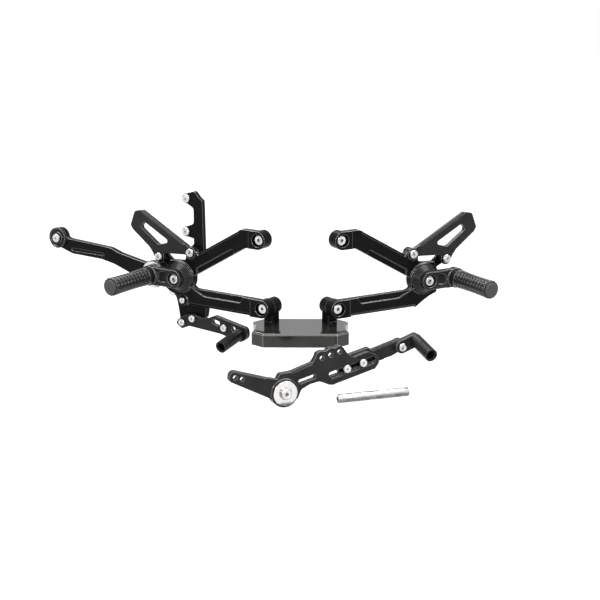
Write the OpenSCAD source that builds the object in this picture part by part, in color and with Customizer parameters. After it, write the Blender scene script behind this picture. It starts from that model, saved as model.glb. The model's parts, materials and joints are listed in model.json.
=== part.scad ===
/* [Stand] */
// Width of the display block
block_w = 126; // [118:1:160]
// Depth of the display block
block_d = 80; // [76:1:110]
// Height of the display block
block_h = 18; // [14:1:26]
// Cut across each corner of the block, seen from above
block_corner = 15; // [8:0.5:20]
// How far each end of the block is waisted in
block_waist = 2.5; // [0:0.5:5]
// Bevel round the top edge of the block
block_bevel = 2; // [0.5:0.25:4]
// Diameter of the upright posts
post_d = 20; // [16:0.5:22]
// Height of the pale riser under the block
riser_h = 30; // [28:0.5:36]
// Distance of each post from the middle of the block
post_x = 38; // [34:0.5:44]
// Distance of the posts behind the middle of the block
post_y = 22; // [10:0.5:24]
// Diameter of the round head of a post
post_head_d = 22; // [20:0.5:26]
// Length of the round head of a post along its bolt
post_head_len = 16; // [12:0.5:20]
// Height of the lower mounting bolt over the foot of the block
bolt_z = 40; // [36:0.5:60]
// Turn of the brake side assembly about its post, degrees
splay_brake = 34; // [28:0.5:38]
// Turn of the shift side assembly about its post, degrees
splay_shift = 31; // [26:0.5:38]

/* [Bracket] */
// Thickness of the bracket arms
arm_t = 10; // [8:0.5:13]
// Width of both bracket arms
arm_w = 24; // [20:0.5:26]
// Thickness of the two mounting bosses
boss_t = 17; // [14:0.5:22]
// Upper mounting bolt, offset to the rear
mount_u = 5.3; // [0:0.1:10]
// Upper mounting bolt, height over the lower one
mount_v = 91; // [86:0.5:96]
// Where the upper arm bends down, to the rear of the lower bolt
knee_u = 28; // [24:0.5:32]
// Slope of the upper arm, degrees
arm_slope = 30; // [28:0.5:31]
// Peg holder bolt, to the rear of the lower bolt
peg_u = 131; // [128:0.5:134]
// Peg holder bolt, height over the lower bolt
peg_v = 26; // [24:0.5:28]
// Diameter of the round pad under the peg holder
pad_d = 42; // [38:0.5:46]
// Height of that pad over the bracket face
pad_rise = 2; // [1:0.25:4]
// Depth of the relief that runs along the inner edges of the arms
ledge_t = 2.5; // [1:0.25:4]
// Bevel along the outer edges of the arms
arm_bevel = 4; // [1:0.25:5]
// Step from the mounting bosses down to the arm faces
face_step = 1; // [0.5:0.25:2]

/* [Heel guard] */
// Thickness of the heel guard plate
guard_t = 6; // [3:0.5:6]
// Height of the tip of the heel guard over the lower bolt
guard_v = 110; // [104:0.5:116]
// Reach of the heel guard to the rear
guard_u = 216.5; // [208:0.5:224]
// Radius of the heel guard round its bolts
guard_r = 8; // [7:0.25:9]

/* [Foot peg] */
// Distance from the holder bolt back to the peg
peg_reach = 40.5; // [38:0.5:48]
// Height of the peg holder arm
holder_h = 25; // [20:0.5:27]
// Thickness of the tail of the holder, behind the peg
tail_t = 8; // [6:0.5:10]
// Length of the grip of a foot peg
grip_len = 77; // [60:1:100]
// Diameter of the grip at its ends
grip_d = 24.5; // [20:0.5:28]
// Diameter of the grip at its waist
grip_waist = 21.5; // [16:0.5:24]
// Number of rings turned into the grip
grip_rings = 13; // [8:1:16]
// Thickness of the end cap of a foot peg
cap_t = 3.5; // [2:0.5:6]

/* [Brake lever] */
// Outer diameter of the flange of the brake lever hub
flange_d = 37; // [34:0.5:38]
// Outer diameter of the long barrel of the hub
barrel_d = 27; // [24:0.5:28]
// Diameter of the bush that the brake lever turns on
bush_d = 12; // [11:0.5:14]
// Reach of the rear arm, from the pivot
rear_u = 166; // [150:1:180]
// Rise of the end of the rear arm over the pivot
rear_v = 30; // [26:0.5:34]
// Thickness of the rear arm
rear_t = 8; // [6:0.5:8.5]
// Diameter of the notched disc on the rear arm
disc_d = 28.5; // [24:0.5:32]
// Number of notches in the rim of that disc
disc_notches = 24; // [12:1:32]
// Thickness of the toe plate
toe_plate_t = 6; // [4:0.5:7]
// Outer diameter of the toe tubes
toe_d = 16; // [14:0.5:17]
// Bore of the toe tubes
toe_bore = 10.5; // [8:0.5:12]
// Length of the toe tubes
toe_len = 42; // [30:1:48]
// Downward lean of the toe tubes, degrees
toe_lean = 12; // [0:1:14]

/* [Cylinder bracket] */
// Spacing of the two master cylinder bolts
cyl_pitch = 45; // [40:0.5:50]
// Thickness of the master cylinder bracket
cyl_t = 6; // [4:0.5:7]
// Width of the upright bar of that bracket
cyl_bar = 14.5; // [12:0.5:16]

/* [Loose shift lever] */
// Place of the loose lever, to the right of the middle of the stand
shift_x = -21; // [-40:0.5:10]
// Place of the loose lever, in front of the middle of the stand
shift_y = -190; // [-220:1:-180]
// Turn of the loose lever on the table, degrees
shift_yaw = 24; // [15:1:36]
// Thickness of the shift lever plate
shift_t = 8; // [6:0.5:10]
// Outer diameter of the shift lever hub
shift_hub_d = 35.5; // [33:0.5:38]
// Diameter of the big washer on the shift lever
shift_washer_d = 31; // [28:0.5:32]
// Slope of the adjusting slot of the shift lever, degrees
slot_slope = 13; // [11:0.5:14]
// Thickness of the sliding arm
slider_t = 7; // [5:0.5:8]
// Height of the sliding arm
slider_h = 16.5; // [15:0.5:18]

/* [Linkage rod] */
// Diameter of the loose linkage rod
rod_d = 11; // [9:0.5:12]
// Length of the linkage rod
rod_len = 93; // [70:1:98]
// Middle of the rod, to the right of the loose lever's hub
rod_right = 111.5; // [101:0.5:121]
// Middle of the rod, behind the loose lever's hub
rod_behind = 24.5; // [-10:0.5:28]
// Turn of the rod on the table, degrees
rod_yaw = 20; // [10:1:28]

/* [Fasteners] */
// Running clearance of the pivots, on the radius
run_gap = 0.05; // [0.02:0.01:0.1]
// Side clearance of the pivots
side_gap = 0.2; // [0.15:0.05:0.4]
// Clearance of a bolt in a tapped hole, on the radius
tap_gap = 0.1; // [0.05:0.05:0.2]
// Clearance of a bolt in a plain hole, on the radius
hole_gap = 0.25; // [0.2:0.05:0.4]
// Shank diameter of the large bolts
big_d = 8; // [7:0.5:9]
// Head diameter of the large bolts
big_head = 15; // [13:0.5:15.5]
// Shank diameter of the middle bolts
mid_d = 6; // [5:0.5:6.5]
// Head diameter of the heel guard and cylinder bolts
mid_head = 12.5; // [11:0.5:13]
// Head diameter of the small lever bolts
small_head = 10.5; // [9.5:0.25:11]
// Shank diameter of the small lever bolts
small_d = 5; // [4:0.5:5.5]
// Diameter of the counterbore round a mounting bolt
sink_d = 17; // [16:0.25:18]
// Depth of that counterbore
sink_t = 7.5; // [5:0.25:9]

/* [Hidden] */
$fn = 48;
eps = 0.01;

half_w = arm_w / 2;
post_reach = boss_t + post_head_len / 2;
arm_face = -face_step;
ear_top = arm_face - guard_t;
tail_u = peg_u + peg_reach;
holder_base = pad_rise;
tail_back = pad_rise + 8;
holder_face = tail_back + tail_t;
collar_face = holder_face + 2;
washer_t = 1.4;
hub_front = tail_back - washer_t - side_gap;
flange_t = 5;
toe_arm_back = -22;
toe_arm_face = -14;
cap_face = collar_face + grip_len;
mid_head_h = 3.3;
big_head_h = 4.4;
small_head_h = 2.8;
holder_sink = 6;
guard_in = [peg_u - 16, peg_v + 34.8];
guard_out = [peg_u + 37, peg_v + 22.7];
rear_end = [tail_u + rear_u, peg_v + rear_v];
slope_dir = [cos(arm_slope), -sin(arm_slope)];
slope_nrm = [sin(arm_slope), cos(arm_slope)];
knee = [knee_u, mount_v];
tan_s = tan(arm_slope);

// Where the lower line of the upper arm is, at a distance to the rear
function under_arm(u) = mount_v - half_w / cos(arm_slope) - tan_s * (u - knee_u);
// Where the upper line of the upper arm is
function over_arm(u) = mount_v + half_w / cos(arm_slope) - tan_s * (u - knee_u);

notch_r = 9.5;
notch_v = half_w + notch_r;
notch_u = knee_u + (mount_v - (half_w + notch_r) / cos(arm_slope) - notch_v) / tan_s;

// Corner list [x, y, radius] to an outline whose corners are arcs
function unit(v) = v / norm(v);
function corner(a, p, b, r) =
    let (d1 = unit(a - p), d2 = unit(b - p),
         half = acos(max(-1, min(1, d1 * d2))) / 2,
         back = r / tan(half), mid = unit(d1 + d2),
         c = p + mid * (r / sin(half)),
         s = p + d1 * back, e = p + d2 * back,
         a0 = atan2(s[1] - c[1], s[0] - c[0]),
         a1 = atan2(e[1] - c[1], e[0] - c[0]),
         turn = ((a1 - a0 + 540) % 360) - 180)
    let (n = max(2, ceil(abs(turn) / 15)))
    [for (i = [0 : n]) c + r * [cos(a0 + turn * i / n), sin(a0 + turn * i / n)]];
function rounded(pts) = [for (i = [0 : len(pts) - 1])
    let (n = len(pts), p = pts[i], a = pts[(i + n - 1) % n], b = pts[(i + 1) % n])
    each (p[2] == 0 ? [[p[0], p[1]]] :
        corner([a[0], a[1]], [p[0], p[1]], [b[0], b[1]], p[2]))];

// A plate of a rounded outline between two heights
module plate(pts, low, high) {
    translate([0, 0, low])
        linear_extrude(height = high - low)
            polygon(rounded(pts));
}

// A straight cut that bevels the edge from p to q of a face at the height z
module bevel(p, q, size, z, over = 3) {
    run = q - p;
    translate([p[0], p[1], z])
        rotate([0, 0, atan2(run[1], run[0])])
            translate([-over, 0, 0])
                rotate([45, 0, 0])
                    translate([0, -size / sqrt(2), -size / sqrt(2)])
                        cube([norm(run) + 2 * over, size * sqrt(2), size * sqrt(2)]);
}

// A round bar on the face axis, from low to high
module bar(at, d, low, high) {
    translate([at[0], at[1], low])
        cylinder(d = d, h = high - low);
}

// A button head bolt whose seat is at the origin and whose shank runs down
module button_bolt(d, head_d, head_h, length) {
    difference() {
        union() {
            rotate_extrude()
                polygon([[0, 0], [head_d / 2, 0], [head_d / 2, 0.5 * head_h],
                    [head_d * 0.46, 0.82 * head_h], [head_d * 0.4, head_h], [0, head_h]]);
            translate([0, 0, -length])
                cylinder(d = d, h = length + head_h / 2);
        }
        translate([0, 0, 0.4 * head_h])
            cylinder(d = 0.62 * d, h = head_h, $fn = 6);
    }
}

module put_bolt(at, seat, d, head_d, head_h, length) {
    translate([at[0], at[1], seat])
        button_bolt(d, head_d, head_h, length);
}

// A ring between two heights
module ring(at, outer, inner, low, high) {
    translate([at[0], at[1], low])
        difference() {
            cylinder(d = outer, h = high - low);
            translate([0, 0, -1])
                cylinder(d = inner, h = high - low + 2);
        }
}

// Local axes of an assembly: x to the rear, y up, z out of the bracket face
module set_out(splay) {
    translate([post_x, post_y, riser_h + bolt_z])
        rotate([0, 0, splay])
            rotate([90, 0, 0])
                translate([0, 0, post_reach])
                    children();
}
module shift_side() {
    set_out(splay_shift) children();
}
module brake_side() {
    mirror([1, 0, 0]) set_out(splay_brake) children();
}

// The stand: block, posts and the screws that hold them from below
post_socket = 2;
post_foot = riser_h + block_h - post_socket;
screw_seat = riser_h + mid_head_h + 1;
function block_plan(w, d, c, waist) =
    let (x = w / 2, y = d / 2, e = y - c, m = 0.4 * e)
    [[-x + c, -y], [x - c, -y], [x, -e], [x - waist, -m], [x - waist, m], [x, e], [x - c, y],
        [-x + c, y], [-x, e], [-x + waist, m], [-x + waist, -m], [-x, -e]];

module stand_riser() {
    color("#f2f2f0")
        linear_extrude(height = riser_h)
            polygon(block_plan(block_w - 8, block_d - 8, block_corner, block_waist));
}

module stand_block() {
    plan = block_plan(block_w, block_d, block_corner, block_waist);
    color("#2b2b2d")
        difference() {
            translate([0, 0, riser_h])
                linear_extrude(height = block_h)
                    polygon(plan);
            for (i = [0 : len(plan) - 1])
                bevel(plan[i], plan[(i + 1) % len(plan)], block_bevel, riser_h + block_h, 0.3);
            for (s = [-1, 1]) {
                translate([s * post_x, post_y, post_foot])
                    cylinder(d = post_d + 2 * tap_gap, h = post_socket + 1);
                translate([s * post_x, post_y, riser_h - 1])
                    cylinder(d = mid_d + 2 * hole_gap, h = block_h + 2);
                translate([s * post_x, post_y, riser_h - 1])
                    cylinder(d = small_head + 1.5, h = screw_seat - riser_h + 1);
            }
        }
}

module stand_screws() {
    color("#c9c9c9")
        for (s = [-1, 1])
            translate([s * post_x, post_y, screw_seat])
                mirror([0, 0, 1])
                    button_bolt(mid_d, small_head, mid_head_h, block_h + 4);
}

// One post with its round head, standing in its own place
module post(splay) {
    head_back = -boss_t - post_head_len;
    difference() {
        union() {
            translate([post_x, post_y, post_foot])
                cylinder(d = post_d, h = riser_h + bolt_z - post_foot);
            set_out(splay)
                bar([0, 0], post_head_d, head_back, -boss_t);
        }
        set_out(splay) {
            translate([-20, -20, -boss_t])
                cube([40, 40, 20]);
            translate([-20, -8, head_back - 20])
                cube([40, 40, 20]);
            bar([0, 0], big_d + 2 * tap_gap, head_back - 1, 1);
        }
        translate([post_x, post_y, post_foot - 1])
            cylinder(d = mid_d + 2 * tap_gap, h = 12);
    }
}
module stand_post_left() {
    color("#1b1b1c") mirror([1, 0, 0]) post(splay_brake);
}
module stand_post_right() {
    color("#1b1b1c") post(splay_shift);
}

// The bracket that carries one side, in its local axes
inner_corner = knee_u + (mount_v - half_w / cos(arm_slope) - half_w) / tan_s;
bracket_plan = [
    [mount_u, mount_v + half_w, 0], [knee_u + half_w * tan(arm_slope / 2), mount_v + half_w, 10],
    [103, over_arm(103), 6], [guard_in[0] - 5.5, guard_in[1] + 5, 0], [guard_in[0], guard_in[1] + 7, 0],
    [guard_in[0] + 7, guard_in[1] + 1.5, 0], [guard_in[0] + 8, guard_in[1] - 10, 2.5],
    [peg_u, peg_v + 22, 4], [guard_out[0] - 19, guard_out[1] - 2, 3],
    [guard_out[0] - 10.5, guard_out[1] + 5.2, 2],
    [guard_out[0] - 3, guard_out[1] + 6.5, 0], [guard_out[0], guard_out[1], 0],
    [guard_out[0] - 2.5, guard_out[1] - 7, 0],
    [guard_out[0] - 10, guard_out[1] - 10.4, 3], [peg_u + 21.5, peg_v + 7, 5], [peg_u + 22.5, peg_v - 21, 3],
    [peg_u + 11, peg_v - 25, 6], [peg_u + 1.5, peg_v - 30, 6], [120, -half_w, 6],
    [0, -half_w, 0], [0, half_w, 0], [inner_corner, half_w, notch_r],
    [knee_u - half_w * tan(arm_slope / 2), mount_v - half_w, 8], [mount_u, mount_v - half_w, 0]];

module bracket(inner_ear_back = -15) {
    far = [103, over_arm(103)];
    near = [knee_u + 9, over_arm(knee_u + 9)];
    difference() {
        union() {
            plate(bracket_plan, -arm_t, arm_face);
            bar([0, 0], arm_w, -boss_t, 0);
            bar([mount_u, mount_v], arm_w, -boss_t, 0);
            plate([[0, -half_w, 0], [17, -half_w, 0], [17, half_w, 0], [0, half_w, 0]], -arm_t, 0);
            plate([[mount_u, mount_v - half_w, 0], [19.5, mount_v - half_w, 0],
                [19.5, mount_v + half_w, 0], [mount_u, mount_v + half_w, 0]], -arm_t, 0);
            bar([peg_u, peg_v], pad_d, -arm_t, pad_rise);
            if (inner_ear_back < -arm_t)
                bar(guard_in, 2 * guard_r - 1, inner_ear_back, arm_face - guard_t);
            bar(guard_out, 2 * guard_r - 1, -15, arm_face - guard_t);
        }
        bar(guard_in, 2 * guard_r + 1.2, arm_face - guard_t, 5);
        plate([[guard_out[0] - 20, guard_out[1] + 12, 0], [guard_out[0] - 18.5, guard_out[1] - 4, 0],
            [guard_out[0] - 13, guard_out[1] - 15, 0], [guard_out[0] + 12, guard_out[1] - 15, 0],
            [guard_out[0] + 12, guard_out[1] + 12, 0]], arm_face - guard_t, 5);
        plate([[44, under_arm(44) - 4, 0], [103.5, under_arm(103.5) - 4, 0],
            [105.5, under_arm(105.5) + 8.5, 2], [44, under_arm(44) + 8.5, 3]], arm_face - ledge_t, 5);
        plate([[34, 3.6, 2], [93, 3.6, 6], [110, 10.7, 4], [116, 17, 2], [106, 24, 0], [30, 24, 0],
            [30, 10, 0]],
            arm_face - ledge_t, 5);
        bevel(near, far, arm_bevel * 0.75, arm_face, 1);
        bevel([20, -half_w], [118, -half_w], arm_bevel, arm_face, 1);
        for (at = [[0, 0], [mount_u, mount_v]]) {
            bar(at, big_d + 2 * hole_gap, -boss_t - 1, 1);
            bar(at, sink_d, -sink_t, 1);
        }
        bar([peg_u, peg_v], big_d + 2 * tap_gap, -arm_t - 1, pad_rise + 1);
        for (at = [guard_in, guard_out])
            bar(at, mid_d + 2 * tap_gap, -16, 1);
        children();
    }
}
module bracket_shift_side() {
    color("#1c1c1e") shift_side() bracket();
}

small_ear = [peg_u - 3, peg_v - 31.6];
cyl_low = [127.8, 86.6];
cyl_high = [cyl_low[0] - 0.8, cyl_low[1] + cyl_pitch];
cyl_face = -arm_t;
cyl_back = cyl_face - cyl_t;
cyl_holes = [[106.5, 47], [119, 32]];
module bracket_brake_side() {
    color("#1c1c1e")
        brake_side()
            difference() {
                union() {
                    bracket(-arm_t)
                        for (at = cyl_holes)
                            bar(at, small_d + 2 * tap_gap, -arm_t - 1, -arm_t + 5.8);
                    bar(small_ear, 15, -arm_t, arm_face + 1);
                }
                bar(small_ear, small_d + 2 * tap_gap, -arm_t - 1, 1);
            }
}

mount_len = 21;
module mount_bolts() {
    put_bolt([0, 0], -sink_t, big_d, big_head, big_head_h, mount_len);
    put_bolt([mount_u, mount_v], -sink_t, big_d, big_head, big_head_h, mount_len);
}
module mount_bolts_brake_side() {
    color("#d0d0d0") brake_side() mount_bolts();
}
module mount_bolts_shift_side() {
    color("#d0d0d0") shift_side() mount_bolts();
}

// Heel guard with one window
tip = [guard_u, guard_v];
function spot(a, b, r) =
    let (p = guard_in + a * (tip - guard_in) + b * (guard_out - guard_in)) [p[0], p[1], r];
guard_plan = [
    [guard_in[0] + 3, guard_in[1] + 7.4, 0], spot(0.922, -0.237, 5), spot(0.935, -0.017, 5),
    spot(0.682, 0.609, 4), spot(0.595, 0.709, 6), spot(0.215, 0.9, 8),
    [guard_out[0] + 10.6, guard_out[1] + 4.4, 3], [guard_out[0] + 7, guard_out[1] - 2, 0],
    [guard_out[0], guard_out[1], 0],
    [guard_out[0] - 6.6, guard_out[1] + 4.5, 0], [guard_out[0] - 11, guard_out[1] + 6.3, 2],
    [guard_in[0] + 9, guard_in[1] - 3.6, 3], [guard_in[0] + 6.4, guard_in[1] - 4.8, 0],
    [guard_in[0], guard_in[1], 0]];
guard_window = [spot(0.704, 0.119, 4), spot(0.249, 0.16, 3), spot(0.228, 0.587, 6), spot(0.611, 0.42, 4)];
guard_root = [guard_in[0] + 3, guard_in[1] + 7.4];
guard_end = [spot(0.922, -0.237, 0)[0], spot(0.922, -0.237, 0)[1]];
module heel_guard() {
    difference() {
        union() {
            plate(guard_plan, arm_face - guard_t, arm_face);
            bar(guard_in, 2 * guard_r, arm_face - guard_t, arm_face);
            bar(guard_out, 2 * guard_r, arm_face - guard_t, arm_face);
        }
        plate(guard_window, arm_face - guard_t - 1, 1);
        bevel(guard_root + 0.1 * (guard_end - guard_root), guard_end, 2.6, arm_face, 0);
        for (at = [guard_in, guard_out])
            bar(at, mid_d + 2 * hole_gap, -16, 1);
    }
}
module heel_guard_brake_side() {
    color("#1c1c1e") brake_side() heel_guard();
}
module heel_guard_shift_side() {
    color("#1c1c1e") shift_side() heel_guard();
}
module guard_bolts() {
    for (at = [guard_in, guard_out])
        put_bolt(at, arm_face, mid_d, mid_head, mid_head_h, 13);
}
module heel_guard_bolts_brake_side() {
    color("#d0d0d0") brake_side() guard_bolts();
}
module heel_guard_bolts_shift_side() {
    color("#d0d0d0") shift_side() guard_bolts();
}

// Peg holder: a boss on the pad, an arm to the rear and a collar
collar_d = 27;
holder_boss_d = 25;
module peg_holder() {
    difference() {
        union() {
            bar([peg_u, peg_v], holder_boss_d, holder_base, holder_face);
            translate([peg_u, peg_v, holder_base])
                cylinder(d1 = pad_d - 3, d2 = holder_boss_d - 1, h = 7);
            bar([tail_u, peg_v], collar_d, tail_back, collar_face);
            plate([[peg_u, peg_v - holder_h / 2, 0], [tail_u, peg_v - holder_h / 2, 0],
                [tail_u, peg_v + holder_h / 2, 0], [peg_u, peg_v + holder_h / 2, 0]],
                tail_back, holder_face);
        }
        plate([[peg_u + 12, peg_v - 6, 2], [peg_u + 12, peg_v + 8.5, 2], [peg_u + 18, peg_v + 8.5, 3],
            [peg_u + 25.5, peg_v + 5.5, 3], [peg_u + 25.5, peg_v - 6, 2]], holder_face - 3, holder_face + 1);
        bevel([peg_u + 2, peg_v + holder_h / 2], [tail_u - 14, peg_v + holder_h / 2], 1.5, holder_face, 0);
        bevel([peg_u + 2, peg_v - holder_h / 2], [tail_u - 14, peg_v - holder_h / 2], 1.5, holder_face, 0);
        bar([peg_u, peg_v], big_d + 2 * hole_gap, 0, 40);
        bar([peg_u, peg_v], big_head + 2, holder_face - holder_sink, 40);
        bar([tail_u, peg_v], big_d + 2 * hole_gap, 0, 40);
    }
}
module peg_holder_brake_side() {
    color("#1c1c1e") brake_side() peg_holder();
}
module peg_holder_shift_side() {
    color("#1c1c1e") shift_side() peg_holder();
}
module holder_bolt() {
    put_bolt([peg_u, peg_v], holder_face - holder_sink, big_d, big_head, big_head_h,
        holder_face - holder_sink + 9);
}
module holder_bolt_brake_side() {
    color("#d0d0d0") brake_side() holder_bolt();
}
module holder_bolt_shift_side() {
    color("#d0d0d0") shift_side() holder_bolt();
}

// Foot peg: a waisted bar with rings turned into it
root_len = 8;
rim_len = 2.5;
ring_pitch = (grip_len - root_len - rim_len) / grip_rings;
function grip_r(t) = grip_waist / 2 + (grip_d - grip_waist) / 2 * pow(2 * t - 1, 2);
grip_side = [for (i = [0 : grip_rings - 1])
    let (z = root_len + i * ring_pitch, r = grip_r((i + 0.5) / grip_rings))
    each [[r - 0.9, z + 0.1 * ring_pitch], [r, z + 0.28 * ring_pitch], [r, z + 0.82 * ring_pitch],
        [r - 0.9, z + ring_pitch]]];
cap_bore = 12;
cap_d = grip_d - 5;
module peg_grip() {
    translate([tail_u, peg_v, collar_face])
        difference() {
            rotate_extrude()
                polygon(concat([[0, 0], [grip_d / 2 - 0.6, 0], [grip_d / 2, 0.6],
                    [grip_d / 2, 0.6 * root_len],
                    [grip_r(0.1), root_len]],
                    grip_side, [[grip_d / 2, grip_len - 0.7 * rim_len], [grip_d / 2, grip_len - 0.8],
                    [grip_d / 2 - 0.8, grip_len], [0, grip_len]]));
            translate([0, 0, -1])
                cylinder(d = big_d + 2 * tap_gap, h = 19);
            translate([0, 0, grip_len - 9])
                cylinder(d = cap_bore, h = 10);
        }
}
module peg_cap() {
    translate([tail_u, peg_v, cap_face])
        union() {
            rotate_extrude()
                polygon([[0, 0], [cap_d / 2, 0], [cap_d / 2, 0.25 * cap_t], [0.475 * cap_d, 0.5 * cap_t],
                    [0.41 * cap_d, 0.74 * cap_t], [0.31 * cap_d, 0.91 * cap_t], [0.18 * cap_d, cap_t],
                    [0, cap_t]]);
            translate([0, 0, -8])
                cylinder(d = cap_bore - 2 * hole_gap, h = 9);
        }
}
module peg_grip_brake_side() {
    color("#202022") brake_side() peg_grip();
}
module peg_grip_shift_side() {
    color("#202022") shift_side() peg_grip();
}
module peg_cap_brake_side() {
    color("#3a3a3c") brake_side() peg_cap();
}
module peg_cap_shift_side() {
    color("#3a3a3c") shift_side() peg_cap();
}

// The stud enters each peg from behind
stud_end = collar_face + 16;
rear_washer_t = 1.4;
rear_washer_back = toe_arm_back - side_gap - rear_washer_t;
module stud(seat) {
    translate([tail_u, peg_v, seat])
        mirror([0, 0, 1])
            button_bolt(big_d, big_head, big_head_h, stud_end - seat);
}
module peg_stud_brake_side() {
    color("#d0d0d0") brake_side() stud(rear_washer_back);
}
module peg_stud_shift_side() {
    color("#d0d0d0") shift_side() stud(tail_back);
}

// Brake lever: hub, rear arm and toe arm in one piece
function off(u, v) = [tail_u + u, peg_v + v];
rear_back = hub_front - rear_t;
arm_end = off(rear_u, rear_v);
clevis_at = [156, 0];
toe_bolt_a = [136, -39];
toe_bolt_b = [118.5, -31.5];
rear_plan = [
    [tail_u + 11, peg_v + 13.5, 0], [tail_u + 19, peg_v + 14.5, 6], [tail_u + 57, peg_v + 21, 20],
    [tail_u + 75, peg_v + 26.5, 20], [arm_end[0] - 16, arm_end[1] + 0, 14],
    [arm_end[0] - 2, arm_end[1] + 10, 0],
    [arm_end[0] + 4, arm_end[1] - 12, 0], [arm_end[0] - 24, arm_end[1] - 20, 20],
    [tail_u + 90, peg_v + 9, 20],
    [tail_u + 67, peg_v + 5, 20], [tail_u + 42, peg_v - 3, 16], [tail_u + 13, peg_v - 14, 0],
    [tail_u, peg_v, 0]];
toe_arm_plan = [
    [182, 16, 0], [165, 2, 12], [150, -6, 8], [146, -22, 8], [143.5, -38, 5], [136, -46.5, 6],
    [126, -43.5, 5],
    [108, -35, 6], [101, -28, 6], [99, -14, 8], [106, -4, 10], [130, 6, 14], [158, 26, 10], [165, 37, 0]];
module brake_lever() {
    color("#1c1c1e")
        brake_side()
            difference() {
                union() {
                    bar([tail_u, peg_v], barrel_d, toe_arm_back, hub_front - flange_t + 0.5);
                    bar([tail_u, peg_v], flange_d, hub_front - flange_t, hub_front);
                    plate(rear_plan, rear_back, hub_front);
                    bar(arm_end, disc_d - 1.5, rear_back, hub_front);
                    plate(toe_arm_plan, toe_arm_back, toe_arm_face);
                }
                plate([[tail_u + 85, peg_v + 14, 0], [tail_u + 85.5, peg_v + 17.4, 1.5],
                    [tail_u + 148, peg_v + 17.6, 1.5], [tail_u + 141, peg_v + 13.8, 0]],
                    hub_front - 2, hub_front + 1);
                bar([tail_u, peg_v], bush_d + 2 * run_gap, toe_arm_back - 1, hub_front + 1);
                bar(arm_end, mid_d + 2 * tap_gap, rear_back - 1, hub_front + 1);
                bar(clevis_at, small_d + 2 * hole_gap, toe_arm_back - 1, toe_arm_face + 1);
                for (at = [toe_bolt_a, toe_bolt_b])
                    bar(at, small_d + 2 * tap_gap, toe_arm_back - 1, toe_arm_face + 1);
            }
}
module brake_lever_bush() {
    color("#b9b9b9")
        brake_side()
            ring([tail_u, peg_v], bush_d, big_d + 2 * tap_gap, toe_arm_back - side_gap,
                tail_back - washer_t);
}
module brake_lever_front_washer() {
    color("#d0d0d0")
        brake_side()
            ring([tail_u, peg_v], flange_d - 2, big_d + 2 * tap_gap, tail_back - washer_t, tail_back);
}
module brake_lever_rear_washer() {
    color("#d0d0d0")
        brake_side()
            ring([tail_u, peg_v], barrel_d - 2, big_d + 2 * tap_gap, rear_washer_back,
                rear_washer_back + rear_washer_t);
}
disc_t = 4.5;
module rear_arm_disc() {
    color("#1c1c1e")
        brake_side()
            translate([arm_end[0], arm_end[1], hub_front])
                difference() {
                    cylinder(d = disc_d, h = disc_t);
                    for (i = [0 : disc_notches - 1])
                        rotate([0, 0, 360 * i / disc_notches])
                            translate([disc_d / 2 + 0.3, 0, -1])
                                cylinder(d = 1.8, h = disc_t + 2, $fn = 12);
                    translate([0, 0, disc_t - 1])
                        ring_cut(disc_d - 5, disc_d - 12);
                    translate([0, 0, -1])
                        cylinder(d = mid_d + 2 * hole_gap, h = disc_t + 2);
                }
}
module ring_cut(outer, inner) {
    difference() {
        cylinder(d = outer, h = 3);
        translate([0, 0, -1])
            cylinder(d = inner, h = 5);
    }
}
module rear_arm_bolt() {
    color("#d0d0d0")
        brake_side()
            put_bolt(arm_end, hub_front + disc_t, mid_d, mid_head, mid_head_h, disc_t + 7);
}

// Toe plate, bolted on the front of the toe arm
tube_at = [40.5, -41];
toe_plan = [
    [143.6, -36.5, 3], [131.3, -28.4, 4], [118.5, -25.5, 4], [101.6, -28.8, 8], [94, -27.8, 5],
    [81.3, -21.9, 5],
    [28.5, -31.6, 6], [26.8, -44, 9], [38, -52.5, 10], [71.4, -45.7, 10], [124.5, -42.6, 10],
    [136.4, -48.2, 4],
    [146.1, -41.9, 3]];
toe_back = toe_arm_face;
toe_face = toe_arm_face + toe_plate_t;
module brake_toe_plate() {
    color("#1c1c1e")
        brake_side()
            difference() {
                plate(toe_plan, toe_back, toe_face);
                for (at = [toe_bolt_a, toe_bolt_b])
                    bar(at, small_d + 2 * hole_gap, toe_back - 1, toe_face + 1);
                bar([65.5, -36.5], small_d + 2 * tap_gap, toe_back - 1, toe_face + 1);
                bar([50.5, -35.5], small_d + 2, toe_back - 1, toe_face + 1);
                bar(tube_at, small_d + 2 * hole_gap, toe_back - 1, toe_face + 1);
                plate([[73.5, -36, 3], [86, -33.2, 3], [84.5, -26.5, 3], [72, -29.3, 3]],
                    toe_back - 1, toe_face + 1);
            }
}
module toe_plate_bolts() {
    color("#d0d0d0")
        brake_side() {
            for (at = [toe_bolt_a, toe_bolt_b])
                put_bolt(at, toe_face, small_d, small_head, small_head_h, toe_plate_t + 7);
            put_bolt([65.5, -36.5], toe_face, small_d, small_head, small_head_h, toe_plate_t + 1);
        }
}

// A toe tube stands on a face at z = 0 and leans down; its root is cut flush
thread_len = 10;
module toe_tube() {
    difference() {
        rotate([toe_lean, 0, 0])
            difference() {
                translate([0, 0, -3])
                    cylinder(d = toe_d, h = toe_len + 3);
                translate([0, 0, thread_len + 2])
                    cylinder(d = toe_bore, h = toe_len);
                translate([0, 0, toe_len - 1])
                    cylinder(d1 = toe_bore, d2 = toe_bore + 4, h = 2);
                for (z = [16 : 3 : toe_len - 5])
                    translate([0, 0, z])
                        difference() {
                            cylinder(d = toe_d + 2, h = 0.9);
                            translate([0, 0, -1])
                                cylinder(d = toe_d - 0.9, h = 3);
                        }
            }
        translate([-20, -20, -20])
            cube([40, 40, 20]);
        translate([0, 0, -1])
            cylinder(d = small_d + 2 * tap_gap, h = 1 + thread_len - 2);
    }
}
module brake_toe_tube() {
    color("#1c1c1e")
        brake_side()
            translate([tube_at[0], tube_at[1], toe_face])
                toe_tube();
}
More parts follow.
